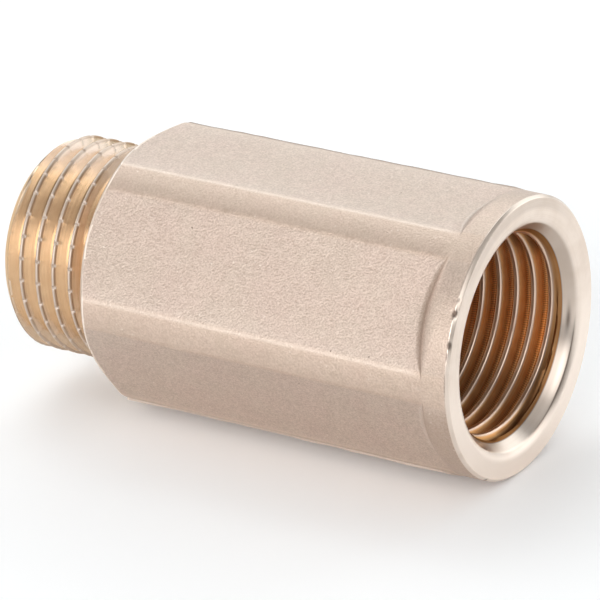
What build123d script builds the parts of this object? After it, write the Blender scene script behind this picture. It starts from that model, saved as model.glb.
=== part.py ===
from build123d import *

import math
import os

# Brass pipe extension fitting: a forged hexagon body with an outside pipe thread at one end and an
# inside pipe thread at the other. Millimetres, +X along the pipe axis towards the socket, +Z up.
# It lies on one of its flats, and the origin is on the surface below the middle of its length.

# Body: a round bar with six flats pressed into it, up to a collar. All angles are from the pipe axis.
body_length = 40.0
across_flats = 24.0
band_height = 1.15
collar_lift = 0.05
flat_edge_radius = 2.0
collar_length = 2.75
shoulder_angle = 45.0
shoulder_edge_break = 0.2
hexagon_end_angle = 51.0

# Outside thread, right-hand, with a lead-in at its end and a relief beside the hexagon. Its flanks are
# measured from a plane across the axis. Turns are degrees round the axis, from +Y up towards +Z.
spigot_length = 10.4
thread_diameter = 20.5
thread_root_diameter = 18.1
thread_pitch = 1.814
thread_flank_angle = 27.5
thread_crest_width = 0.24
thread_start_turn = 22.0
thread_lead_diameter = 18.0
relief_width = 1.1
relief_diameter = 18.0
relief_angle = 63.0
tool_overrun = 0.15

# Notches rolled across the crests, which hold a sealing thread in place
notch_count = 30
notch_first_turn = 10.2
notch_depth = 0.16
notch_angle = 90.0

# Socket: face, countersink and the inside thread at its crests
face_chamfer = 0.3
mouth_diameter = 21.46
mouth_edge_break = 0.23
countersink_angle = 45.0
socket_thread_diameter = 18.63
socket_thread_depth = 13.0

# Waterway from the bottom of the socket to the end of the spigot
waterway_diameter = 14.0
socket_bottom_angle = 59.0
waterway_chamfer = 0.5


def slope(angle):
    """Rise per unit of run of a wall at this many degrees."""
    return math.tan(math.radians(angle))


def corner_break(length, angle):
    """Run and rise of a length along a wall at this many degrees from the axis."""
    return length * math.cos(math.radians(angle)), length * math.sin(math.radians(angle))


def across_axis(station):
    """Plane across the axis, with its own x along +Y and its normal along the axis."""
    return Plane(origin=(station, 0, 0), x_dir=(0, 1, 0), z_dir=(1, 0, 0))


# Radii and stations along the axis, counted from the middle of the whole fitting
apothem = across_flats / 2
band_radius = apothem + band_height
collar_radius = band_radius + collar_lift
thread_radius = thread_diameter / 2
root_radius = thread_root_diameter / 2
lead_radius = thread_lead_diameter / 2
relief_radius = relief_diameter / 2
mouth_radius = mouth_diameter / 2
socket_radius = socket_thread_diameter / 2
waterway_radius = waterway_diameter / 2

spigot_end = -(body_length + spigot_length) / 2
hexagon_end = spigot_end + spigot_length
socket_face = hexagon_end + body_length
shoulder_start = socket_face - collar_length
countersink_end = socket_face - (mouth_radius - socket_radius) / slope(countersink_angle)
thread_end = socket_face - socket_thread_depth
waterway_start = thread_end - (socket_radius - waterway_radius) / slope(socket_bottom_angle)


def turned(points):
    """Solid of revolution about the axis from (station, radius) points."""
    return revolve(make_face(Polyline(*points, close=True)), Axis.X)


def hexagon_bar():
    """The six flats and the round bands between them, chamfered like a nut at the spigot end."""
    hexagon = RegularPolygon(apothem, 6, major_radius=False)
    section = hexagon & Circle(band_radius)
    section = fillet(section.vertices(), flat_edge_radius)
    bar = extrude(across_axis(hexagon_end) * section, body_length - face_chamfer)
    clear_radius = 2 * band_radius
    clear_station = hexagon_end + (clear_radius - apothem) / slope(hexagon_end_angle)
    envelope = turned(
        [
            (hexagon_end, 0),
            (hexagon_end, apothem),
            (clear_station, clear_radius),
            (socket_face, clear_radius),
            (socket_face, 0),
        ]
    )
    return bar & envelope


def collar():
    """Round collar round the socket, with the sloping shoulders that end the flats."""
    rise = collar_radius - waterway_radius
    slope_start = shoulder_start - rise / slope(shoulder_angle)
    break_run, break_rise = corner_break(shoulder_edge_break, shoulder_angle)
    points = [
        (slope_start, 0),
        (slope_start, waterway_radius),
        (shoulder_start - break_run, collar_radius - break_rise),
        (shoulder_start + shoulder_edge_break, collar_radius),
        (socket_face - face_chamfer, collar_radius),
        (socket_face, collar_radius - face_chamfer),
        (socket_face, 0),
    ]
    return turned(points)


def spigot():
    """Round end that carries the outside thread, still without its groove, reaching into the body."""
    lead_length = thread_radius - lead_radius
    relief_start = hexagon_end - relief_width
    points = [
        (spigot_end, 0),
        (spigot_end, lead_radius),
        (spigot_end + lead_length, thread_radius),
        (relief_start - (thread_radius - relief_radius) / slope(relief_angle), thread_radius),
        (relief_start, relief_radius),
        (hexagon_end + relief_width, relief_radius),
        (hexagon_end + relief_width, 0),
    ]
    return turned(points)


def notches():
    """Cutter for the notches: wedges along the axis, from the end into the relief."""
    reach = notch_depth + tool_overrun
    half_mouth = reach * slope(notch_angle / 2)
    mouth = thread_radius + tool_overrun
    wedge = make_face(Polyline((mouth - reach, 0), (mouth, -half_mouth), (mouth, half_mouth), close=True))
    wedges = Sketch() + [place * wedge for place in PolarLocations(0, notch_count, notch_first_turn)]
    return extrude(across_axis(spigot_end) * wedges, spigot_length - relief_width / 2)


def helix_path(start, length, radius):
    """Right-hand helix round +Z, in pieces of half a turn at most."""
    count = math.ceil(2 * length / thread_pitch)
    rise = length / count
    turn = 360 * rise / thread_pitch
    piece = Helix(thread_pitch, rise, radius)
    return Wire([(Pos(0, 0, start + k * rise) * Rot(0, 0, k * turn) * piece).edge() for k in range(count)])


def thread_groove():
    """Cutter for the outside thread: its section runs along a helix, from before the end to the relief."""
    start = spigot_end - thread_pitch / 2
    spread = slope(thread_flank_angle)
    half_at_crest = (thread_pitch - thread_crest_width) / 2
    half_root = half_at_crest - (thread_radius - root_radius) * spread
    half_mouth = half_at_crest + tool_overrun * spread
    mouth = thread_radius + tool_overrun
    points = [
        (root_radius, start - half_root),
        (mouth, start - half_mouth),
        (mouth, start + half_mouth),
        (root_radius, start + half_root),
    ]
    section = make_face(Plane.XZ * Polyline(*points, close=True))
    cutter = sweep(section, helix_path(start, spigot_length, root_radius), is_frenet=True)
    return Rot(thread_start_turn, 0, 0) * (across_axis(0) * cutter)


def passage():
    """Everything that is bored out: countersink, threaded socket, drilled bottom and waterway."""
    break_run, break_rise = corner_break(mouth_edge_break, countersink_angle)
    points = [
        (spigot_end, 0),
        (spigot_end, waterway_radius + waterway_chamfer),
        (spigot_end + waterway_chamfer, waterway_radius),
        (waterway_start, waterway_radius),
        (thread_end, socket_radius),
        (countersink_end, socket_radius),
        (socket_face - break_run, mouth_radius - break_rise),
        (socket_face, mouth_radius + mouth_edge_break),
        (socket_face, 0),
    ]
    return turned(points)


forging = hexagon_bar() + collar()
fitting = forging + (spigot() - notches()) - passage() - thread_groove()
extension_fitting = Pos(0, 0, collar_radius) * fitting
extension_fitting.label = "extension_fitting"

os.makedirs("parts", exist_ok=True)
export_step(extension_fitting, "parts/extension_fitting.step")
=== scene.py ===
import math

import bmesh
import bpy
import numpy as np
from mathutils import Matrix, Vector, noise


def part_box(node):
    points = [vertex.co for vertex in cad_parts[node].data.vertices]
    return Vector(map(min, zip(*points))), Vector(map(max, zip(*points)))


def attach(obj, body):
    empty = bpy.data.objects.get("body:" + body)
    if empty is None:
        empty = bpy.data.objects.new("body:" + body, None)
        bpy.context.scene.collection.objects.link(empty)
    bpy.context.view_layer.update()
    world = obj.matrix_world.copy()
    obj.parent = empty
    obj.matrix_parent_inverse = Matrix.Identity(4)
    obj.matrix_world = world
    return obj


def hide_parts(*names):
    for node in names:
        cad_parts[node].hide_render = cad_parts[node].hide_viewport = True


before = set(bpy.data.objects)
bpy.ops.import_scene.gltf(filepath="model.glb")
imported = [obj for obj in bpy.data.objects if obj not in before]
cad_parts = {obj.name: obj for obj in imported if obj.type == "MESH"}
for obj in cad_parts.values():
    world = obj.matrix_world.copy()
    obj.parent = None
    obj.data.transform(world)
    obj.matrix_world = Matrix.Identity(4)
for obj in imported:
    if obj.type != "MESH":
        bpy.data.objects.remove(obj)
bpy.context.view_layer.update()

# All sizes are in millimetres from the pipe axis; x runs along it, towards the socket. Turns go
# round it in degrees, from +Y up towards +Z. A level is the sine of a turn: 1 on top, -1 below.
# A pair of numbers is where something begins and where it is complete.
mm = 0.001
cadNode = "extension_fitting"
boxLow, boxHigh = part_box(cadNode)
spigotEnd, socketFace = boxLow.x / mm, boxHigh.x / mm
collarRadius = (boxHigh.z - boxLow.z) / 2 / mm
axisHeight = (boxHigh.z + boxLow.z) / 2 / mm
pitch = 1.814  # both pipe threads
flankAngle = 27.5


def steepness(angle):
    return math.tan(math.radians(angle))


def levelOf(columns):
    return np.sin(np.radians(columns))


def smoothMin(first, second, reach):
    near = np.maximum(reach - np.abs(first - second), 0) / reach
    return np.minimum(first, second) - near * near * reach / 4


def smoothMax(first, second, reach):
    return -smoothMin(-first, -second, reach)


def ramp(value, begin, complete):
    # 0 to 1 as the value goes from begin to complete, up or down
    share = np.clip((value - begin) / (complete - begin), 0, 1)
    return share * share * (3 - 2 * share)


def bell(value, middle, half):
    return np.exp(-(((value - middle) / half) ** 2))


# Mesh gathered from grids of lines and columns, with the marks that the finishes read
# the marks carry wear, dirt and trimming, and also painted highlights, sheen and shade
markNames = ["rubbedAndSheen", "shaded", "grimyAndShaded", "trimmedAndHighlight"]
gathered = {"points": [], "faces": [], "finishes": [], **{name: [] for name in markNames}}
forgedSkin, turnedBrass, spigotBrass, socketBrass = range(4)


def addGrid(x, radius, columns, finish, marks=None):
    turn = np.radians(columns)
    start = len(gathered["points"])
    lines, count = x.shape
    y, z = radius * np.cos(turn), radius * np.sin(turn)
    gathered["points"].extend(np.stack([x, y, z], axis=-1).reshape(-1, 3).tolist())
    index = start + np.arange(lines * count).reshape(lines, count)
    corners = [index[:-1, :-1], index[:-1, 1:], index[1:, 1:], index[1:, :-1]]
    gathered["faces"].extend(np.stack(corners, axis=-1).reshape(-1, 4).tolist())
    finishes = np.broadcast_to(finish, (lines - 1, count - 1))
    gathered["finishes"].extend(finishes.reshape(-1).tolist())
    for name in markNames:
        mark = (marks or {}).get(name, 0.0)
        gathered[name].extend(np.broadcast_to(mark, x.shape).reshape(-1).tolist())
    return index


def addFlatRing(ringA, columnsA, ringB, columnsB, finish):
    # triangles across a flat face between two rings that have different columns
    a = b = 0
    while a < len(ringA) - 1 or b < len(ringB) - 1:
        stepA = b == len(ringB) - 1 or (a < len(ringA) - 1 and columnsA[a + 1] <= columnsB[b + 1])
        following = ringA[a + 1] if stepA else ringB[b + 1]
        gathered["faces"].append([int(ringA[a]), int(following), int(ringB[b])])
        gathered["finishes"].append(finish)
        a, b = (a + 1, b) if stepA else (a, b + 1)


def evenly(count):
    return [step / count for step in range(count)]


def roundedRuns(corners, breaks, runs, arcSteps=4):
    # lines along a profile whose corners are rounded; each corner is a pair of rows, x and radius,
    # and each run between corners is a list of the shares of its length where lines lie. The owner
    # of a strip between two lines is its run; a corner's arc belongs to the run after it.
    most = 0.48  # share of a run that an arc may take
    corners = [np.array(np.broadcast_arrays(*corner), float) for corner in corners]
    lines, owners = [], []
    start = corners[0]
    for k in range(1, len(corners)):
        here, before = corners[k], corners[k] - corners[k - 1]
        inner = k < len(corners) - 1
        arcStart = arcEnd = here
        if inner:
            after = corners[k + 1] - here
            reachBefore, reachAfter = np.hypot(*before), np.hypot(*after)
            cut = np.minimum(breaks[k - 1], most * np.minimum(reachBefore, reachAfter))
            arcStart = here - before / reachBefore * cut
            arcEnd = here + after / reachAfter * cut
        lines += [start + (arcStart - start) * share for share in runs[k - 1]]
        owners += [k - 1] * len(runs[k - 1])
        for t in evenly(arcSteps) if inner else []:
            lines.append((1 - t) ** 2 * arcStart + 2 * t * (1 - t) * here + t * t * arcEnd)
            owners.append(k)
        start = arcEnd
    lines.append(corners[-1])
    return np.array([line[0] for line in lines]), np.array([line[1] for line in lines]), np.array(owners)


# Forged body: hexagon, shoulders and collar
forgedBody = {
    "hexagonEnd": -14.8,
    "apothem": 12.0,
    "bandRadius": 13.19,
    "bandBulge": 0.07,  # how far the middle of a band stands out over its edges
    "bulgeReach": 1.6,  # halves of a band over which it falls
    "bandRound": 0.09,  # how far the flats blend into the bands
    "edgeWander": 0.5,  # degrees that the edges of the bands stray
    "endAngle": 51.0,
    "endBreak": 0.1,
    "endEdge": 0.04,
    "endRound": 0.16,
    "endRim": 0.2,  # strip that the facing tool left bright
    "endLand": 0.8,
    "collarLength": 2.75,
    "shoulderAngle": 45.0,
    "footRound": 0.4,
    "shoulderRound": 0.8,
    "faceChamfer": 0.28,
    "faceEdge": 0.06,
    "faceLand": 1.0,
    "unevenness": 0.03,
    "unevenSize": 3.2,
    "partingHalf": 1.4,  # degrees, half the width of a parting strip
    "stripLift": 0.8,  # share of its lift that a strip has
    "stripRagged": 14.0,  # more or less of it, by the skin's waves
    "stripLimits": (0.35, 1.1),
    # wear, painted highlights and painted shade: where it is
    "bandRub": 2.0,  # degrees that the rubbed look of a band reaches into a flat
    "edgeHighlightHalf": 0.8,  # degrees, painted highlight along the upper edge of a band
    "edgeHighlightFade": 5.0,  # degrees that it fades over into the flat
    "edgeHighlightShare": 0.45,
    "underShadeBack": 1.5,  # degrees past the middle of a band, from where the painted shade gets thicker
    "underShadeEnd": (1.0, -0.2),  # degrees inside the flat, where it ends
    "underShadeOver": 0.3,  # level of the lowest band with painted shade under it
    "darkFlat": 150.0,  # the shoulder of this flat gets painted shade, those of the others a painted highlight
    "darkReach": (24.0, 28.0),
    "chamferUnshaded": 150.0,  # the face's chamfer has no painted shade here
    "unshadedReach": (14.0, 22.0),
    "collarShadeFrom": (183.0, 195.0),  # turns between which the lower collar gets painted shade
    "collarShadeTo": (300.0, 280.0),
    "topShadeLevels": (0.55, 0.95),  # levels where the chamfer and the ring get painted shade on top
    # levels where the ring gets a painted highlight, towards the bottom
    "ringHighlight": (0.25, -0.25),
    # wear, painted highlights and painted shade: how strong it is
    "collarRubbed": 0.45,
    "slopeShade": 0.8,
    "slopeHighlight": 0.3,
    "chamferShade": 0.3,
    "chamferTopShade": 0.2,
    "collarShade": 0.6,
    "ringTopShade": 0.4,
    "underShade": 0.18,
    "edgeHighlight": 0.4,
}

partingStrips = [  # what the trimming left of the flash between the dies
    {"turn": 61.2, "lift": 0.1, "dark": 0.6, "edge": 0.85, "highlight": 0.0},
    # the lower strip's light colour is a painted highlight
    {"turn": 240.6, "lift": 0.2, "dark": 0.0, "edge": 0.15, "highlight": 1.0},
]

edgeChips = [  # dents and dark marks on the collar's outer edge, by turn and distance from the face
    {"turn": 147.5, "along": 0.32, "halfTurn": 1.7, "halfAlong": 0.26, "depth": 0.14, "dark": 1.0},
    {"turn": 142.0, "along": 0.25, "halfTurn": 1.0, "halfAlong": 0.1, "depth": 0.05, "dark": 0.6},
    {"turn": 160.0, "along": 0.25, "halfTurn": 2.0, "halfAlong": 0.2, "depth": 0.1, "dark": 0.9},
    {"turn": 164.5, "along": 0.32, "halfTurn": 2.2, "halfAlong": 0.08, "depth": 0.05, "dark": 0.7},
    {"turn": 176.0, "along": 0.33, "halfTurn": 5.0, "halfAlong": 0.05, "depth": 0.02, "dark": 0.5},
    {"turn": 238.5, "along": 0.3, "halfTurn": 1.0, "halfAlong": 0.2, "depth": 0.08, "dark": 0.9},
]

# columns of the mesh: degrees from the middle of a band, and shares of a dent's and a strip's half
bandStops = [0, 1.5, 3, 4, 4.7, 5.2, 5.7, 6.2, 6.7, 7.2, 7.8, 8.5, 9.5, 11, 12.5, 14.5, 17, 20, 23, 26.5]
chipStops = [-2.2, -1.5, -1.0, -0.5, 0, 0.5, 1.0, 1.5, 2.2]
stripStops = [-1.3, -1, -0.8, 0, 0.8, 1, 1.3]


def bodyColumns(size):
    columns = {0.0, 360.0}
    for band in range(0, 360, 60):
        columns.update(round((band + side * stop) % 360, 4) for stop in bandStops for side in (-1, 1))
        columns.add(band + 30.0)
    for chip in edgeChips:
        columns.update(round(chip["turn"] + chip["halfTurn"] * stop, 4) for stop in chipStops)
    for strip in partingStrips:
        columns.update(round(strip["turn"] + size["partingHalf"] * stop, 4) for stop in stripStops)
    columns = sorted(columns)
    apart = 0.04  # columns nearer than this are one
    return np.array([turn for k, turn in enumerate(columns) if k == 0 or turn - columns[k - 1] > apart])


def nearestFlat(columns, size):
    # degrees from the middle of a flat, degrees inside its edge, and half the degrees of a band
    offMiddle = columns % 60 - 30
    edge = math.degrees(math.acos(size["apothem"] / (size["bandRadius"] - size["bandBulge"])))
    return offMiddle, edge - np.abs(offMiddle), 30 - edge


def skinRadius(columns, size):
    offMiddle, inside, bandHalf = nearestFlat(columns, size)
    flat = size["apothem"] / np.cos(np.radians(offMiddle))
    fromBand = np.minimum((inside + bandHalf) / bandHalf, size["bulgeReach"])
    band = size["bandRadius"] - size["bandBulge"] * fromBand**2
    return smoothMin(flat, band, size["bandRound"])


def bandMarks(columns, size):
    # rubbed bands, a painted highlight on their upper edge, and painted shade towards the lower edge of
    # the high ones
    offMiddle, inside, bandHalf = nearestFlat(columns, size)
    rubbedAndSheen = ramp(inside, size["bandRub"], 0)
    upward = np.sign(np.cos(np.radians(columns))) * np.sign(offMiddle)  # edge above or below its flat
    fading = size["edgeHighlightShare"] * np.exp(-np.abs(inside) / size["edgeHighlightFade"]) * (inside > 0)
    edgeHighlight = np.maximum(bell(inside, 0, size["edgeHighlightHalf"]), fading)
    underShade = ramp(bandHalf + inside, -size["underShadeBack"], bandHalf) * ramp(inside, *size["underShadeEnd"])
    high = levelOf(columns) > size["underShadeOver"]
    return rubbedAndSheen, edgeHighlight * (upward < 0), underShade * (upward > 0) * high


def unevenSkin(x, radius, columns, size):
    # slow waves of a forged surface, and edges that stray a little along the bar
    fineShare, fineScale, strayScale, strayShift = 0.5, 2.1, 0.8, Vector((7.3, 0, 0))
    turn = np.radians(columns)
    y, z = radius * np.cos(turn), radius * np.sin(turn)
    waves, stray = np.zeros_like(x), np.zeros_like(x)
    for place in np.ndindex(x.shape):
        point = Vector((x[place], y[place], z[place])) / size["unevenSize"]
        waves[place] = noise.noise(point) + fineShare * noise.noise(point * fineScale)
        stray[place] = noise.noise(point * strayScale + strayShift)
    moved = skinRadius(columns + size["edgeWander"] * stray, size) - skinRadius(columns, size)
    return size["unevenness"] * waves, moved


def chipMarks(x, columns):
    darkFrom = (1 / 6, 13 / 18)  # share of a dent's depth
    dent, dark = np.zeros_like(x), np.zeros_like(x)
    for chip in edgeChips:
        shape = bell(columns, chip["turn"], chip["halfTurn"])
        shape = shape * bell(socketFace - x, chip["along"], chip["halfAlong"])
        dent += chip["depth"] * shape
        dark = np.maximum(dark, chip["dark"] * ramp(shape, *darkFrom))
    return dent, dark


def partingMarks(columns, size):
    # how far the strips stand out, how dark they are and their painted highlight; in halves of a strip's
    # width
    whole, edgeAt, edgeHalf = (1.2, 0.85), 1.1, 0.3
    lift, dark, highlight = (np.zeros_like(columns) for _ in range(3))
    for strip in partingStrips:
        off = np.abs(columns - strip["turn"]) / size["partingHalf"]
        shape = ramp(off, *whole)
        edges = ramp(np.abs(off - edgeAt), edgeHalf, 0)
        lift = lift + strip["lift"] * shape
        dark = np.maximum(dark, np.maximum(strip["dark"] * shape, strip["edge"] * edges))
        highlight = np.maximum(highlight, strip["highlight"] * np.maximum(shape, edges))
    return lift, dark, highlight


def buildBody(size):
    columns = bodyColumns(size)
    skin = skinRadius(columns, size)
    end = np.full_like(skin, size["hexagonEnd"])
    face = np.full_like(skin, socketFace)
    shoulder = face - size["collarLength"]
    endRadius = np.minimum(skin, size["apothem"]) - size["endBreak"]
    endCorner = end + (skin - endRadius) / steepness(size["endAngle"])
    corners = [
        (end, endRadius - size["endLand"]),
        (end, endRadius),
        (endCorner, skin),
        (shoulder - (collarRadius - skin) / steepness(size["shoulderAngle"]), skin),
        (shoulder, collarRadius),
        (face - size["faceChamfer"], collarRadius),
        (face, collarRadius - size["faceChamfer"]),
        (face, collarRadius - size["faceLand"]),
    ]
    roundings = ["endEdge", "endRound", "footRound", "shoulderRound", "faceEdge", "faceEdge"]
    breaks = [size[name] for name in roundings]
    # lines lie closer at the start of the flats and at the end of the collar
    flatLines = [0, 0.004, 0.012] + [0.03 + 0.97 * share for share in evenly(30)]
    collarLines = [0, 0.25, 0.45, 0.62, 0.74, 0.83, 0.9, 0.95]
    runs = [evenly(1), evenly(2), flatLines, evenly(4), collarLines, evenly(3), evenly(1)]
    flats, slope, collar, chamfer, ring = range(2, 7)
    x, radius, owners = roundedRuns(corners, breaks, runs)

    def linesOn(first, last):
        # 1 for each line that has strips of these runs on both sides
        held = (owners >= first) & (owners <= last)
        return np.array([0.0, *(held[:-1] & held[1:]), 0.0])[:, None]

    onSkin, onFlat, onSlope = linesOn(flats, collar), linesOn(flats, flats), linesOn(slope, slope)
    onCollar, onChamfer = linesOn(collar, collar), linesOn(chamfer, chamfer)
    onRing = np.array([0.0, *(owners >= ring)])[:, None]
    waves, moved = unevenSkin(x, radius, columns, size)
    lift, stripDark, stripHighlight = partingMarks(columns, size)
    ragged = np.clip(size["stripLift"] + size["stripRagged"] * waves, *size["stripLimits"])
    dent, dark = chipMarks(x, columns)
    radius = radius + onSkin * waves + onFlat * (moved + lift * ragged) - dent

    rubbedAndSheen, edgeHighlight, underShade = bandMarks(columns, size)
    besideDark = ramp(np.abs(columns - size["darkFlat"]), *size["darkReach"])
    paintedShadeCollar = ramp(columns, *size["collarShadeFrom"]) * ramp(columns, *size["collarShadeTo"])
    paintedShadeTop = ramp(levelOf(columns), *size["topShadeLevels"])
    highlightRing = ramp(levelOf(columns), *size["ringHighlight"])
    paintedShadeChamfer = ramp(np.abs(columns - size["chamferUnshaded"]), *size["unshadedReach"])
    marks = {
        # golden wear on bands and collar; a painted highlight on the lower part of the ring
        "rubbedAndSheen": np.maximum(onSkin * rubbedAndSheen, onCollar * size["collarRubbed"]) + onRing * highlightRing,
        # painted shade: front shoulder, chamfer, lower collar, top of the ring, under the high bands
        "shaded": onSlope * size["slopeShade"] * (1 - besideDark)
        + onChamfer * (size["chamferShade"] * paintedShadeChamfer + size["chamferTopShade"] * paintedShadeTop)
        + onCollar * size["collarShade"] * paintedShadeCollar
        + onRing * size["ringTopShade"] * paintedShadeTop
        + onFlat * size["underShade"] * underShade,
        "grimyAndShaded": np.maximum(dark, onFlat * stripDark),
        # the trimmed face ring, and painted highlights: lower parting strip, other shoulders, bands' upper
        # edges
        "trimmedAndHighlight": np.maximum(onFlat * stripHighlight, onRing)
        + onSlope * size["slopeHighlight"] * besideDark
        + onFlat * size["edgeHighlight"] * edgeHighlight,
    }
    middle = (x[:-1] + x[1:]) / 2
    owner = owners[:, None]
    forged = (owner >= flats) & (owner <= collar) & (middle > endCorner + size["endRim"])
    finish = np.where(forged[:, :-1], forgedSkin, turnedBrass)
    return addGrid(x, radius, columns, finish, marks), columns


# Threads: lines follow the helix, so that crests and roots stay crisp
halfSteps = [0, 0.066, 0.132, 0.2, 0.28, 0.42, 0.58, 0.74, 0.87]  # from a crest to a root


def helixLines(crestAt, columns, low, high):
    # x of every line and column: lines lie at fixed places on the thread's form and stop at both ends
    offsets = sorted([-step for step in halfSteps[1:]] + halfSteps + [-1.0])
    first = math.floor((low - pitch - crestAt) / pitch) - 1
    last = math.ceil((high - crestAt) / pitch) + 1
    lines = [crestAt + (k + offset / 2) * pitch for k in range(first, last + 1) for offset in offsets]
    return np.clip(np.array(lines)[:, None] + pitch * columns / 360, low, high)


def besideCrest(x, columns, crestAt):
    # distance along the axis from the middle of the nearest crest
    along = x - pitch * columns / 360 - crestAt
    return (along + pitch / 2) % pitch - pitch / 2


def threadRise(x, columns, crestAt, form, spill=0.0, drop=0.0):
    # height of the thread above its root; spill and drop shape the marks rolled across its crest
    beadDepth = (-0.55, -0.25)  # from the crest
    offset = np.abs(besideCrest(x, columns, crestAt))
    height = abs(form["crestRadius"] - form["rootRadius"])
    flank = height - (offset - form["crestHalf"]) / steepness(flankAngle)
    flank = flank + spill * ramp(flank - height, *beadDepth) / steepness(flankAngle)
    top = np.broadcast_to(height - drop, flank.shape)
    return smoothMax(smoothMin(top, flank, form["crestRound"]), np.zeros_like(flank), form["rootRound"])


outsideThread = {
    "crestRadius": 10.25,
    "rootRadius": 8.9,
    "crestAt": -7.79,  # a crest at 180 degrees, from the end of the hexagon
    "crestHalf": 0.1,
    "crestRound": 0.05,
    "rootRound": 0.12,
    "leadRadius": 9.0,
    "leadSteepness": 1.0,
    "leadRound": 0.05,
    "reliefRadius": 9.0,
    "reliefWidth": 1.1,
    "reliefSteepness": 2.0,
    "reliefRound": 0.1,
    "notchStart": 10.2,
    "notchEvery": 12.0,
    "notchWidth": 0.7,
    "notchDrop": 0.16,
    "notchSpill": 0.1,
    "beadEdge": (0.1, -0.05),  # bright bead beside a notch, past its spill
    "shadeAt": 0.17,  # painted shadow beside each crest, from the crest's middle
    "shadeHalf": 0.055,
    "shadeGap": (0.3, 0.05),  # the line is gone in a notch: shares of the notch's depth
    "shadeLoss": 0.8,  # how much weaker it is on the lowest part and under the painted sheen
    "low": (-0.3, -0.6),  # levels where the dark lines end
    "topSheen": (0.9, 1.0),  # levels where the top of the thread gets a painted sheen
}
notchStops = [-1.5, -1.0, -0.5, 0, 0.5, 1.0, 1.5, 3.0, 4.5, 6.0, 7.5, 9.0]  # columns, degrees


def buildSpigot(form, hexagonEnd):
    every = form["notchEvery"]
    columns = {0.0, 360.0}
    for k in range(round(360 / every)):
        columns.update(round((form["notchStart"] + k * every + stop) % 360, 6) for stop in notchStops)
    columns = np.array(sorted(columns))
    crestAt = hexagonEnd + form["crestAt"] - pitch / 2
    x = helixLines(crestAt, columns, spigotEnd, hexagonEnd)
    fromNotch = (columns - form["notchStart"] + every / 2) % every - every / 2
    notch = bell(fromNotch, 0, form["notchWidth"])
    rise = threadRise(x, columns, crestAt, form, form["notchSpill"] * notch, form["notchDrop"] * notch)
    lead = form["leadRadius"] + (x - spigotEnd) * form["leadSteepness"]
    reliefStart = hexagonEnd - form["reliefWidth"]
    relief = form["reliefRadius"] + np.maximum(reliefStart - x, 0) * form["reliefSteepness"]
    radius = smoothMin(form["rootRadius"] + rise, lead, form["leadRound"])
    radius = smoothMin(radius, relief, form["reliefRound"])

    beside = besideCrest(x, columns, crestAt)
    shade = bell(beside, form["shadeAt"], form["shadeHalf"]) * ramp(notch, *form["shadeGap"])
    beadFrom, beadFull = (form["crestHalf"] + form["notchSpill"] + edge for edge in form["beadEdge"])
    bead = notch * ramp(np.abs(beside), beadFrom, beadFull)
    low, topSheen = (ramp(levelOf(columns), *form[name]) for name in ("low", "topSheen"))
    # painted shadow beside the crests, and a painted sheen on the top of the thread
    marks = {
        "grimyAndShaded": shade * (1 - form["shadeLoss"] * np.maximum(topSheen, low)),
        "trimmedAndHighlight": bead * (1 - topSheen),
        "rubbedAndSheen": topSheen,
        "shaded": bead * topSheen,
    }
    return addGrid(x, radius, columns, spigotBrass, marks), columns


insideThread = {
    "columns": 200,
    "crestRadius": 9.315,
    "rootRadius": 10.478,
    "crestAt": -2.325,  # first crest at 0 degrees, from the socket's face
    "crestHalf": 0.19,
    "crestRound": 0.12,
    "rootRound": 0.3,
    "faceLand": 0.6,
    "mouthRadius": 11.2,
    "leadRadius": 10.6,  # where a shallow lead in the face turns into the countersink
    "leadDepth": 0.35,
    "mouthRound": 0.14,
    "countersinkAngle": 36.0,
    "rimDepth": 1.38,  # inner edge of the countersink
    "rimRound": 0.04,
    "grooveRun": 0.8,  # the groove deepens over this length behind it
    "depth": 13.0,
    "fadeLength": 1.4,
    "bottomAngle": 59.0,
    "bottomRound": 0.1,
    "waterwayRadius": 7.0,
    "waterwayChamfer": 0.5,
    "waterwayRound": 0.05,
    # countersink: painted shade, a painted reflection and a painted highlight
    "coneFrom": (0.5, 1.5),  # where its painted shade begins, in depths of the lead
    "coneShade": 0.35,
    "coneFarShade": 0.55,  # more of it on the far side
    "coneFarShadeAt": 35.0,
    "coneFarShadeReach": (55.0, 35.0),
    "streakAt": -13.0,  # dark streak, a painted reflection, degrees
    "streakHalf": 7.0,
    "streakDepth": 0.85,
    "streakWidth": 0.17,
    "streakDark": 0.9,
    "glintAt": -38.0,  # painted highlight streak below it, degrees
    "glintHalf": 18.0,
    "glintDepth": 0.72,
    "glintWidth": 0.2,
    "lineAt": -48.0,  # dark line at its outer edge, degrees
    "lineReach": (40.0, 25.0),
    "lineWidth": 0.06,
    "lineDark": 0.75,
    # thread: painted shade
    "darkOver": (0.32, 0.57),  # levels where its upper part gets painted shade, in place of dark reflections
    "darkUnder": (-0.4, -0.9),  # and its lower part
    "overDark": 0.75,
    "underDark": 0.4,
    "darkFlank": (0.2, 0.35),  # distance from a crest
    "firstDark": 0.85,  # painted shade, brown, in the groove before the first crest
    "firstFrom": (0.14, 0.22),
    "firstFlank": (0.19, 0.27),
}


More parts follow.
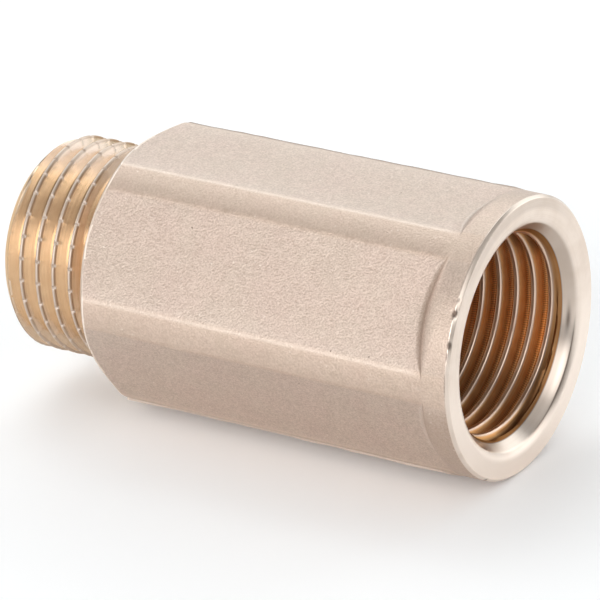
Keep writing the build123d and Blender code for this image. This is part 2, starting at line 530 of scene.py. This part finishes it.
def buildMouth(form, columns):
    # lead, countersink and a strip of the face
    leadDepth, leadRadius, rimDepth = form["leadDepth"], form["leadRadius"], form["rimDepth"]
    face = np.full_like(columns, socketFace)
    corners = [
        (face, form["mouthRadius"] + form["faceLand"]),
        (face, form["mouthRadius"]),
        (face - leadDepth, leadRadius),
        (face - rimDepth, leadRadius - (rimDepth - leadDepth) * steepness(form["countersinkAngle"])),
    ]
    rounds = [2 * form["mouthRound"], form["mouthRound"]]
    x, radius, _ = roundedRuns(corners, rounds, [evenly(1), evenly(2), evenly(9)], arcSteps=6)

    depth = socketFace - x
    around = (columns + 180) % 360 - 180
    paintedShade = ramp(np.abs(around - form["coneFarShadeAt"]), *form["coneFarShadeReach"])
    shade = form["coneShade"] + form["coneFarShade"] * paintedShade
    line = ramp(np.abs(around - form["lineAt"]), *form["lineReach"])
    line = line * bell(depth, leadDepth, form["lineWidth"])
    streak, glint = (
        bell(around, form[name + "At"], form[name + "Half"])
        * bell(depth, form[name + "Depth"], form[name + "Width"])
        for name in ("streak", "glint")
    )
    onLead = ramp(depth, leadDepth, 0)
    # painted shade on the cone, a dark streak that is a painted reflection, and painted highlights on the
    # lower lead and below the streak
    marks = {
        "grimyAndShaded": np.maximum(form["streakDark"] * streak, form["lineDark"] * line),
        "trimmedAndHighlight": onLead,
        "rubbedAndSheen": np.maximum(ramp(levelOf(columns), *forgedBody["ringHighlight"]) * onLead, glint),
        "shaded": ramp(depth / leadDepth, *form["coneFrom"]) * shade * (1 - glint),
    }
    return addGrid(x, radius, columns, turnedBrass, marks)


def buildSocketThread(form, columns):
    rimEnd, threadEnd = socketFace - form["rimDepth"], socketFace - form["depth"]
    crestAt = socketFace + form["crestAt"]
    x = helixLines(crestAt, columns, threadEnd, rimEnd)
    fade = ramp(x, threadEnd, threadEnd + form["fadeLength"]) * ramp(x, rimEnd, rimEnd - form["grooveRun"])
    grooveDepth = form["rootRadius"] - form["crestRadius"]
    valley = form["crestRadius"] + (grooveDepth - threadRise(x, columns, crestAt, form)) * fade
    behindLead = socketFace - form["leadDepth"] - x
    countersink = form["leadRadius"] - behindLead * steepness(form["countersinkAngle"])
    radius = smoothMax(valley, countersink, form["rimRound"])

    level = levelOf(columns)
    before = x - crestAt - pitch / (2 * math.pi) * level  # about the distance before the first crest
    beside = np.abs(besideCrest(x, columns, crestAt))
    # painted shade on the upper and lower parts, in place of dark reflections, and in the first groove
    dark = np.maximum(
        form["overDark"] * ramp(level, *form["darkOver"]),
        form["underDark"] * ramp(level, *form["darkUnder"]),
    )
    first = ramp(before, *form["firstFrom"]) * ramp(beside, *form["firstFlank"])
    first = first * (form["firstDark"] + (1 - form["firstDark"]) * dark)
    marks = {"grimyAndShaded": np.maximum(first, dark * ramp(beside, *form["darkFlank"]))}
    addGrid(x, radius, columns, socketBrass, marks)


def buildWaterway(form, columns):
    # drilled bottom of the socket and the passage to the spigot's end
    waterway, chamfer = form["waterwayRadius"], form["waterwayChamfer"]
    threadEnd = np.full_like(columns, socketFace - form["depth"])
    end = np.full_like(columns, spigotEnd)
    corners = [
        (threadEnd, form["crestRadius"]),
        (threadEnd - (form["crestRadius"] - waterway) / steepness(form["bottomAngle"]), waterway),
        (end + chamfer, waterway),
        (end, waterway + chamfer),
    ]
    rounds = [form["bottomRound"], form["waterwayRound"]]
    x, radius, _ = roundedRuns(corners, rounds, [evenly(3), evenly(12), evenly(2)])
    return addGrid(x, radius, columns, turnedBrass)


bodyIndex, bodyTurns = buildBody(forgedBody)
spigotIndex, spigotTurns = buildSpigot(outsideThread, forgedBody["hexagonEnd"])
socketTurns = np.linspace(0, 360, insideThread["columns"] + 1)
mouthIndex = buildMouth(insideThread, socketTurns)
buildSocketThread(insideThread, socketTurns)
waterwayIndex = buildWaterway(insideThread, socketTurns)
addFlatRing(bodyIndex[0], bodyTurns, spigotIndex[-1], spigotTurns, turnedBrass)
addFlatRing(bodyIndex[-1], bodyTurns, mouthIndex[0], socketTurns, turnedBrass)
addFlatRing(spigotIndex[0], spigotTurns, waterwayIndex[-1], socketTurns, turnedBrass)
print("grids gathered:", len(gathered["points"]), "points")


class Value:
    # a socket that takes part in sums: an expression on values adds Math nodes
    def __init__(self, nodes, socket):
        self.nodes, self.socket = nodes, socket

    def maths(self, operation, *values):
        return self.nodes.node("Math", {"operation": operation}, dict(enumerate(values)))

    def __add__(self, other):
        return self.maths("ADD", self, other)

    def __sub__(self, other):
        return self.maths("SUBTRACT", self, other)

    def __rsub__(self, other):
        return self.maths("SUBTRACT", other, self)

    def __mul__(self, other):
        return self.maths("MULTIPLY", self, other)

    def __truediv__(self, other):
        return self.maths("DIVIDE", self, other)

    def __rtruediv__(self, other):
        return self.maths("DIVIDE", other, self)

    __radd__, __rmul__ = __add__, __mul__

    def other(self, output):
        return Value(self.nodes, self.socket.node.outputs[output])


class Nodes:
    # the nodes of one material, or of the world
    def __init__(self, owner):
        owner.use_nodes = True
        self.owner, self.tree = owner, owner.node_tree
        self.tree.nodes.clear()

    def node(self, kind, settings=None, sockets=None, output=0):
        made = self.tree.nodes.new("ShaderNode" + kind)
        for key, value in (settings or {}).items():
            setattr(made, key, value)
        for key, value in (sockets or {}).items():
            if isinstance(value, Value):
                self.tree.links.new(value.socket, made.inputs[key])
            else:
                made.inputs[key].default_value = value
        return Value(self, made.outputs[output]) if made.outputs else made

    def span(self, value, low, high):
        # 0 to 1 as the value goes from low to high
        return self.node("MapRange", {"interpolation_type": "SMOOTHSTEP"}, {0: value, 1: low, 2: high})

    def mix(self, mask, first, second):
        colourA, colourB, mixed = 6, 7, 2  # the node's sockets for colours
        first, second = (c if isinstance(c, Value) else (*c, 1) for c in (first, second))
        return self.node("Mix", {"data_type": "RGBA"}, {0: mask, colourA: first, colourB: second}, mixed)

    def mark(self, name):
        return self.node("Attribute", {"attribute_name": name}, None, "Fac")

    def millimetres(self):
        place = self.node("TexCoord", None, None, "Object")
        return self.node("VectorMath", {"operation": "SCALE"}, {0: place, "Scale": 1 / mm})

    def cloud(self, place, size, detail=2.0):
        # noise whose blotches are about this many millimetres across
        return self.node("TexNoise", None, {"Vector": place, "Scale": 1 / size, "Detail": detail})

    def specks(self, place, every, radius, share):
        # round spots of one radius, in a share of cells that are this far apart
        core, sure = 0.5, 0.9  # how much of the radius, and of the share, is at full strength
        cell = self.node("TexVoronoi", None, {"Vector": place, "Scale": 1 / every})
        chance = self.node("SeparateColor", None, {0: cell.other("Color")})
        spot = 1 - self.span(cell, core * radius / every, radius / every)
        return spot * self.span(chance, 1 - share, 1 - sure * share)

    def roundAxis(self, place):
        # distance from the pipe axis, place along it and place across it
        parts = self.node("SeparateXYZ", None, {0: place})
        y, z = parts.other("Y"), parts.other("Z")
        return self.node("Math", {"operation": "SQRT"}, {0: y * y + z * z}), parts, y

    def toolLines(self, radius, along, across, width):
        # fine lines round the axis, as a cutting tool leaves them
        change = 0.12  # how slowly a line changes across the part
        place = {0: radius / width, 1: along / width, 2: across * change}
        return self.cloud(self.node("CombineXYZ", None, place), 1.0)

    def ripple(self, place, count):
        # this many even waves round the axis
        parts = self.node("SeparateXYZ", None, {0: place})
        turn = self.node("Math", {"operation": "ARCTAN2"}, {0: parts.other("Z"), 1: parts.other("Y")})
        return self.node("Math", {"operation": "SINE"}, {0: turn * count}) * 0.5 + 0.5

    def relief(self, height, strength, depth):
        return self.node("Bump", None, {"Strength": strength, "Distance": depth * mm, "Height": height})

    def metal(self, sockets):
        shader = self.node("BsdfPrincipled", None, sockets)
        self.node("OutputMaterial", None, {"Surface": shader})
        return self.owner


# Finishes: colours, sizes in millimetres, and shares of a colour where its mark is full
skinLook = {
    "dark": (0.41, 0.305, 0.245),
    "light": (0.76, 0.635, 0.55),
    "pink": (0.6, 0.47, 0.4),
    "beige": (0.585, 0.48, 0.4),
    "golden": (0.73, 0.55, 0.42),
    # colour of the trimmed strip and of the painted highlights
    "trimmedAndHighlight": (0.85, 0.76, 0.68),
    # colour of the painted shade
    "skinShade": (0.3, 0.21, 0.15),
    "pit": (0.2, 0.13, 0.09),
    "glint": (0.9, 0.82, 0.74),
    "grimeAndShade": (0.13, 0.09, 0.07),
    "tintShare": 0.5,
    "goldenShare": 0.3,
    "trimmedAndHighlightShare": 0.7,
    "skinShadeShare": 0.5,
    "pitShare": 0.6,
    "glintShare": 0.3,
    "grimeAndShadeShare": 0.9,
    "contrast": (0.3, 0.7),
    "tintSize": 3.5,
    "grainSize": 0.17,
    "coarseSize": 0.68,
    "coarseShare": 0.25,
    "pits": {"every": 1.3, "radius": 0.1, "share": 0.06},
    "glints": {"every": 0.55, "radius": 0.12, "share": 0.1},
    "bump": 0.85,
    "bumpDepth": 0.07,
    "coarseBump": 0.3,
    "pitBump": 1.5,
    "roughness": 0.46,
    "roughVaries": 0.2,
    "glintGloss": 0.12,
    "trimmedAndHighlightGloss": 0.1,
}


def forgedFinish(look):
    nodes = Nodes(bpy.data.materials.new("forgedSkin"))
    place = nodes.millimetres()
    grain = nodes.cloud(place, look["grainSize"], detail=5.0)
    coarse = nodes.cloud(place, look["coarseSize"])
    tint = nodes.span(nodes.cloud(place, look["tintSize"]), *look["contrast"])
    pits = nodes.specks(place, **look["pits"])
    glints = nodes.specks(place, **look["glints"])
    rubbedAndSheen, shaded, grimyAndShaded, trimmedAndHighlight = (nodes.mark(name) for name in markNames)
    grains = grain * (1 - look["coarseShare"]) + coarse * look["coarseShare"]
    colour = nodes.mix(nodes.span(grains, *look["contrast"]), look["dark"], look["light"])
    colour = nodes.mix(look["tintShare"], colour, nodes.mix(tint, look["pink"], look["beige"]))
    colour = nodes.mix(rubbedAndSheen * look["goldenShare"], colour, look["golden"])
    # painted shade on the front shoulder, the lower collar and under the high bands
    colour = nodes.mix(shaded * look["skinShadeShare"], colour, look["skinShade"])
    colour = nodes.mix(glints * look["glintShare"], colour, look["glint"])
    # painted highlights on the lower parting strip, the other shoulders and the bands' upper edges
    colour = nodes.mix(trimmedAndHighlight * look["trimmedAndHighlightShare"], colour, look["trimmedAndHighlight"])
    colour = nodes.mix(pits * look["pitShare"], colour, look["pit"])
    colour = nodes.mix(grimyAndShaded * look["grimeAndShadeShare"], colour, look["grimeAndShade"])
    rough = look["roughness"] + (coarse - 0.5) * look["roughVaries"]
    rough = rough - glints * look["glintGloss"] - trimmedAndHighlight * look["trimmedAndHighlightGloss"]
    height = grain + coarse * look["coarseBump"] - pits * look["pitBump"]
    return nodes.metal({
        "Base Color": colour,
        "Metallic": 1.0,
        "Roughness": rough,
        "Normal": nodes.relief(height, look["bump"], look["bumpDepth"]),
    })


turnedLook = {
    "dark": (0.79, 0.665, 0.565),
    "light": (0.88, 0.765, 0.67),
    # colours of the painted highlight and the painted shade
    "highlight": (1.0, 0.88, 0.78),
    "paintedShade": (0.34, 0.27, 0.22),
    # colour of the dark chips and of the dark streak that is a painted reflection
    "grimeAndShade": (0.13, 0.09, 0.07),
    "highlightShare": 0.75,
    "paintedShadeShare": 0.6,
    "grimeAndShadeShare": 0.95,
    "contrast": (0.3, 0.7),
    "lineWidth": 0.09,
    "lineShare": 0.4,
    "hazeSize": 1.8,
    "bump": 0.08,
    "bumpDepth": 0.03,
    "roughness": 0.3,
    "mattRoughness": 0.42,
    "roughVaries": 0.1,
}


def turnedFinish(look):
    nodes = Nodes(bpy.data.materials.new("turnedBrass"))
    place = nodes.millimetres()
    radius, along, across = nodes.roundAxis(place)
    lines = nodes.toolLines(radius, along, across, look["lineWidth"])
    haze = nodes.cloud(place, look["hazeSize"], detail=3.0)
    blend = lines * look["lineShare"] + haze * (1 - look["lineShare"])
    colour = nodes.mix(nodes.span(blend, *look["contrast"]), look["dark"], look["light"])
    # painted highlight on the lower part of the ring and the lead, and a streak in the countersink
    colour = nodes.mix(nodes.mark("rubbedAndSheen") * look["highlightShare"], colour, look["highlight"])
    # painted shade on the chamfer, the top of the ring and the countersink
    colour = nodes.mix(nodes.mark("shaded") * look["paintedShadeShare"], colour, look["paintedShade"])
    # dark chips and a dark line, and a dark streak in the countersink that is a painted reflection
    colour = nodes.mix(nodes.mark("grimyAndShaded") * look["grimeAndShadeShare"], colour, look["grimeAndShade"])
    matt = nodes.mark("trimmedAndHighlight") * (look["mattRoughness"] - look["roughness"])
    return nodes.metal({
        "Base Color": colour,
        "Metallic": 1.0,
        "Roughness": look["roughness"] + matt + (haze - 0.5) * look["roughVaries"],
        "Normal": nodes.relief(lines, look["bump"], look["bumpDepth"]),
    })


threadLook = {  # what both threads share
    "crestShare": 0.85,
    "tickShare": 0.4,
    "trimmedAndHighlightShare": 0.6,
    "topSheenShare": 0.8,
    "shadedShare": 0.6,
    "grimyAndShadedShare": 0.85,
    "contrast": (0.35, 0.65),
    "lineWidth": 0.1,
    "lineShare": 0.7,
    "alongShare": 0.2,  # the lines follow the radius more than the axis
    "hazeSize": 1.2,
    "bumpDepth": 0.03,
    "roughVaries": 0.08,
}

spigotLook = {
    **threadLook,
    "name": "spigotThreadBrass",
    "dark": (0.77, 0.6, 0.44),
    "light": (0.85, 0.69, 0.53),
    "crest": (0.6, 0.505, 0.44),
    # colour of the painted sheen on the top of the thread
    "topSheen": (0.71, 0.605, 0.53),
    # colour of the painted shadow beside the crests
    "shade": (0.3, 0.17, 0.08),
    "crestFrom": (9.98, 10.12),  # radii
    "bump": 0.2,
    "roughness": 0.25,
    "crestMatt": 0.18,
    "edgeTint": (0.8, 0.62, 0.42, 1),
    "ticks": 0,
}

socketLook = {
    **threadLook,
    "name": "socketThreadBrass",
    "dark": (0.95, 0.5, 0.2),
    "light": (1.0, 0.63, 0.3),
    "crest": (0.78, 0.64, 0.55),
    "topSheen": (0.8, 0.69, 0.6),
    # colour of the cutter's ticks, and of the painted shade in the thread
    "shade": (0.1, 0.025, 0.006),
    "crestFrom": (9.6, 9.42),
    "bump": 0.15,
    "roughness": 0.42,
    "crestMatt": -0.12,
    "edgeTint": (0.8, 0.6, 0.4, 1),
    "ticks": 300,  # marks across the groove, all round
    "tickFrom": (10.0, 10.3),
}


def threadFinish(look):
    nodes = Nodes(bpy.data.materials.new(look["name"]))
    place = nodes.millimetres()
    radius, along, across = nodes.roundAxis(place)
    lines = nodes.toolLines(radius, along * look["alongShare"], across, look["lineWidth"])
    haze = nodes.cloud(place, look["hazeSize"])
    blend = lines * look["lineShare"] + haze * (1 - look["lineShare"])
    colour = nodes.mix(nodes.span(blend, *look["contrast"]), look["dark"], look["light"])
    crest = nodes.span(radius, *look["crestFrom"])
    colour = nodes.mix(crest * look["crestShare"], colour, look["crest"])
    if look["ticks"]:
        ticks = nodes.ripple(place, look["ticks"]) * nodes.span(radius, *look["tickFrom"])
        colour = nodes.mix(ticks * look["tickShare"], colour, look["shade"])
    colour = nodes.mix(nodes.mark("trimmedAndHighlight") * look["trimmedAndHighlightShare"], colour, look["crest"])
    # painted sheen on the top of the spigot's thread
    colour = nodes.mix(nodes.mark("rubbedAndSheen") * look["topSheenShare"], colour, look["topSheen"])
    colour = nodes.mix(nodes.mark("shaded") * look["shadedShare"], colour, look["shade"])
    # painted shade: beside the spigot's crests, and in the socket's first groove and its upper and lower
    # parts
    colour = nodes.mix(nodes.mark("grimyAndShaded") * look["grimyAndShadedShare"], colour, look["shade"])
    rough = look["roughness"] + crest * look["crestMatt"] + (haze - 0.5) * look["roughVaries"]
    return nodes.metal({
        "Base Color": colour,
        "Metallic": 1.0,
        "Roughness": rough,
        "Specular Tint": look["edgeTint"],
        "Normal": nodes.relief(lines, look["bump"], look["bumpDepth"]),
    })


materials = [  # in the order of the finishes' numbers
    forgedFinish(skinLook),
    turnedFinish(turnedLook),
    threadFinish(spigotLook),
    threadFinish(socketLook),
]
print("finishes:", [material.name for material in materials])

meshing = {
    "weldWithin": 0.002,
    "sliver": 0.0005,
    "sharpFrom": 40.0,  # degrees between faces
}


def weldedMesh(name, size):
    mesh = bpy.data.meshes.new(name)
    mesh.from_pydata((np.array(gathered["points"]) * mm).tolist(), [], gathered["faces"])
    mesh.polygons.foreach_set("material_index", gathered["finishes"])
    for mark in markNames:
        mesh.attributes.new(mark, "FLOAT", "POINT").data.foreach_set("value", gathered[mark])
    work = bmesh.new()
    work.from_mesh(mesh)
    bmesh.ops.remove_doubles(work, verts=work.verts, dist=size["weldWithin"] * mm)
    bmesh.ops.dissolve_degenerate(work, edges=work.edges, dist=size["sliver"] * mm)
    bmesh.ops.recalc_face_normals(work, faces=work.faces)
    openEdges = sum(1 for edge in work.edges if not edge.is_manifold)
    triangles = sum(len(face.verts) - 2 for face in work.faces)
    work.to_mesh(mesh)
    work.free()
    mesh.polygons.foreach_set("use_smooth", [True] * len(mesh.polygons))
    mesh.set_sharp_from_angle(angle=math.radians(size["sharpFrom"]))
    for material in materials:
        mesh.materials.append(material)
    print("mesh:", triangles, "triangles,", openEdges, "open edges")
    return mesh


fitting = bpy.data.objects.new("fitting", weldedMesh("fitting", meshing))
fitting.location = (0, 0, axisHeight * mm)
bpy.context.scene.collection.objects.link(fitting)
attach(fitting, "root")
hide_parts(cadNode)

# Camera, floor and light
photoCamera = {
    "place": (242.91, -371.73, 216.3),
    "right": (0.84907, 0.52635, -0.04519),
    "down": (0.18572, -0.37747, -0.90721),
    "focalShare": 5283.5 / 600,  # focal length over the image's width
    "sensor": 36,
}


def buildCamera(size):
    data = bpy.data.cameras.new("photoCamera")
    data.sensor_width = size["sensor"]
    data.lens = size["focalShare"] * data.sensor_width
    camera = bpy.data.objects.new("photoCamera", data)
    right = Vector(size["right"]).normalized()
    up = -Vector(size["down"]).normalized()
    back = right.cross(up).normalized()
    up = back.cross(right)
    turn = Matrix((right, up, back)).transposed().to_4x4()
    camera.matrix_world = Matrix.Translation(Vector(size["place"]) * mm) @ turn
    bpy.context.scene.collection.objects.link(camera)
    bpy.context.scene.camera = camera


paleFloor = {
    "reach": 4.0,  # metres
    "colour": (0.95, 0.95, 0.95, 1),
    "roughness": 0.9,
    "glow": 0.08,  # a floor lit from below, as for catalogues
}


def buildFloor(look):
    mesh = bpy.data.meshes.new("floor")
    corners = [(-1, -1), (1, -1), (1, 1), (-1, 1)]
    mesh.from_pydata([(x * look["reach"], y * look["reach"], 0) for x, y in corners], [], [(0, 1, 2, 3)])
    floor = bpy.data.objects.new("floor", mesh)
    bpy.context.scene.collection.objects.link(floor)
    nodes = Nodes(bpy.data.materials.new("paleFloor"))
    surface = {
        "Base Color": look["colour"],
        "Roughness": look["roughness"],
        "Emission Color": (1, 1, 1, 1),
        "Emission Strength": look["glow"],
    }
    mesh.materials.append(nodes.metal(surface))


# square soft lights round the object, all at one distance, in metres and watts
lightDistance, lightSize = 0.9, 0.6
whiteLight, coolLight = (1, 1, 1), (0.94, 1.0, 1.03)
softLights = [
    {"name": "frontLeftLowSoftbox", "from": (-0.5, -0.8, 0.2), "power": 1.47, "tint": whiteLight},
    {"name": "frontLeftSoftbox", "from": (-0.5, -0.75, 0.55), "power": 0.3, "tint": whiteLight},
    {"name": "frontLeftHighSoftbox", "from": (-0.45, -0.4, 0.9), "power": 0.35, "tint": whiteLight},
    {"name": "frontSoftbox", "from": (0.1, -0.95, 0.4), "power": 3.14, "tint": whiteLight},
    {"name": "frontRightSoftbox", "from": (0.7, -0.42, 0.58), "power": 1.55, "tint": whiteLight},
    {"name": "leftSoftbox", "from": (-0.9, 0.0, 0.4), "power": 1.53, "tint": whiteLight},
    {"name": "leftTopPanel", "from": (-0.5, 0.15, 0.87), "power": 1, "tint": coolLight},
    {"name": "backLeftTopPanel", "from": (-0.35, 0.5, 0.85), "power": 1.52, "tint": coolLight},
    {"name": "backLeftPanel", "from": (-0.5, 0.76, 0.42), "power": 1.08, "tint": coolLight},
    {"name": "backPanel", "from": (0.15, 0.9, 0.4), "power": 1.72, "tint": coolLight},
    {"name": "backRightPanel", "from": (0.7, 0.68, 0.24), "power": 1.36, "tint": whiteLight},
    {"name": "rightTopPanel", "from": (0.6, 0.15, 0.8), "power": 0.35, "tint": whiteLight},
]
skyStrength = 0.25


def buildLight(size):
    data = bpy.data.lights.new(size["name"], "AREA")
    data.size, data.energy, data.color = lightSize, size["power"], size["tint"]
    light = bpy.data.objects.new(size["name"], data)
    toward = Vector(size["from"]).normalized()
    light.location = toward * lightDistance
    light.rotation_euler = toward.to_track_quat("Z", "Y").to_euler()
    bpy.context.scene.collection.objects.link(light)


def buildSky(strength):
    world = bpy.data.worlds.new("studio")
    bpy.context.scene.world = world
    nodes = Nodes(world)
    background = nodes.node("Background", None, {"Color": (1, 1, 1, 1), "Strength": strength})
    nodes.node("OutputWorld", None, {"Surface": background})


buildCamera(photoCamera)
buildFloor(paleFloor)
for light in softLights:
    buildLight(light)
buildSky(skyStrength)
bpy.context.scene.view_settings.view_transform = "Standard"
print("camera, floor and lights set")
